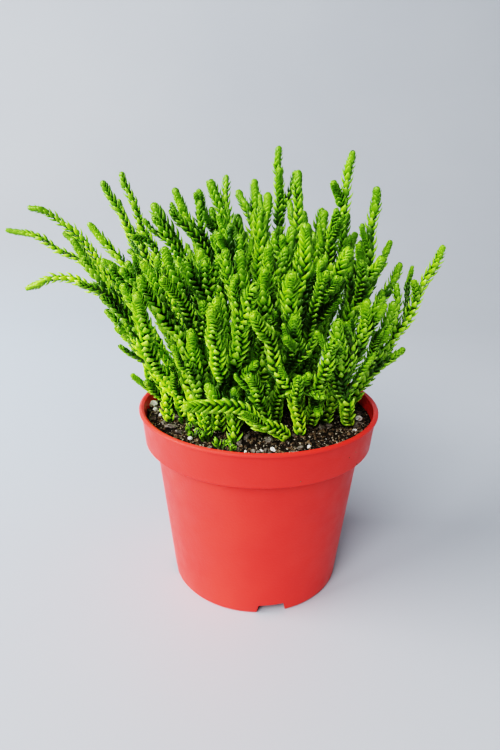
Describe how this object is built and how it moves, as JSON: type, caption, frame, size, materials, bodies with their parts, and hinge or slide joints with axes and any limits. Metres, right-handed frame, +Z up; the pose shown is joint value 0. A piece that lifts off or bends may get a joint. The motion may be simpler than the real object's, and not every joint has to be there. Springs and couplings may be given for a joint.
{
  "type": "potted succulent plant",
  "caption": "Bushy watch chain crassula with slim upright shoots covered in tiny scale leaves, growing in a round red plastic nursery pot.",
  "frame": {"origin": "centre of the pot's underside, on the flat face that it stands on", "axes": "+Z up along the pot's axis, -Y towards the side that the picture shows, +X to its right"},
  "size_m": [0.1981, 0.1411, 0.218],
  "materials": {
    "pot": "satin",
    "soil": "matte",
    "leaves": "satin"
  },
  "bodies": {
    "root": {"pot": "pot", "soil": "soil", "stem_back_1": "leaves", "stem_back_10": "leaves", "stem_back_2": "leaves", "stem_back_3": "leaves", "stem_back_4": "leaves", "stem_back_5": "leaves", "stem_back_6": "leaves", "stem_back_7": "leaves", "stem_back_8": "leaves", "stem_back_9": "leaves", "stem_front_1": "leaves", "stem_front_10": "leaves", "stem_front_11": "leaves", "stem_front_12": "leaves", "stem_front_2": "leaves", "stem_front_3": "leaves", "stem_front_4": "leaves", "stem_front_5": "leaves", "stem_front_6": "leaves", "stem_front_7": "leaves", "stem_front_8": "leaves", "stem_front_9": "leaves", "stem_left_1": "leaves", "stem_left_10": "leaves", "stem_left_11": "leaves", "stem_left_2": "leaves", "stem_left_3": "leaves", "stem_left_4": "leaves", "stem_left_5": "leaves", "stem_left_6": "leaves", "stem_left_7": "leaves", "stem_left_8": "leaves", "stem_left_9": "leaves", "stem_right_1": "leaves", "stem_right_2": "leaves", "stem_right_3": "leaves", "stem_right_4": "leaves", "stem_right_5": "leaves", "stem_right_6": "leaves", "stem_right_7": "leaves", "stem_right_8": "leaves", "stem_top_1": "leaves", "stem_top_10": "leaves", "stem_top_11": "leaves", "stem_top_12": "leaves", "stem_top_13": "leaves", "stem_top_14": "leaves", "stem_top_15": "leaves", "stem_top_16": "leaves", "stem_top_17": "leaves", "stem_top_2": "leaves", "stem_top_3": "leaves", "stem_top_4": "leaves", "stem_top_5": "leaves", "stem_top_6": "leaves", "stem_top_7": "leaves", "stem_top_8": "leaves", "stem_top_9": "leaves"}
  },
  "joints": []
}
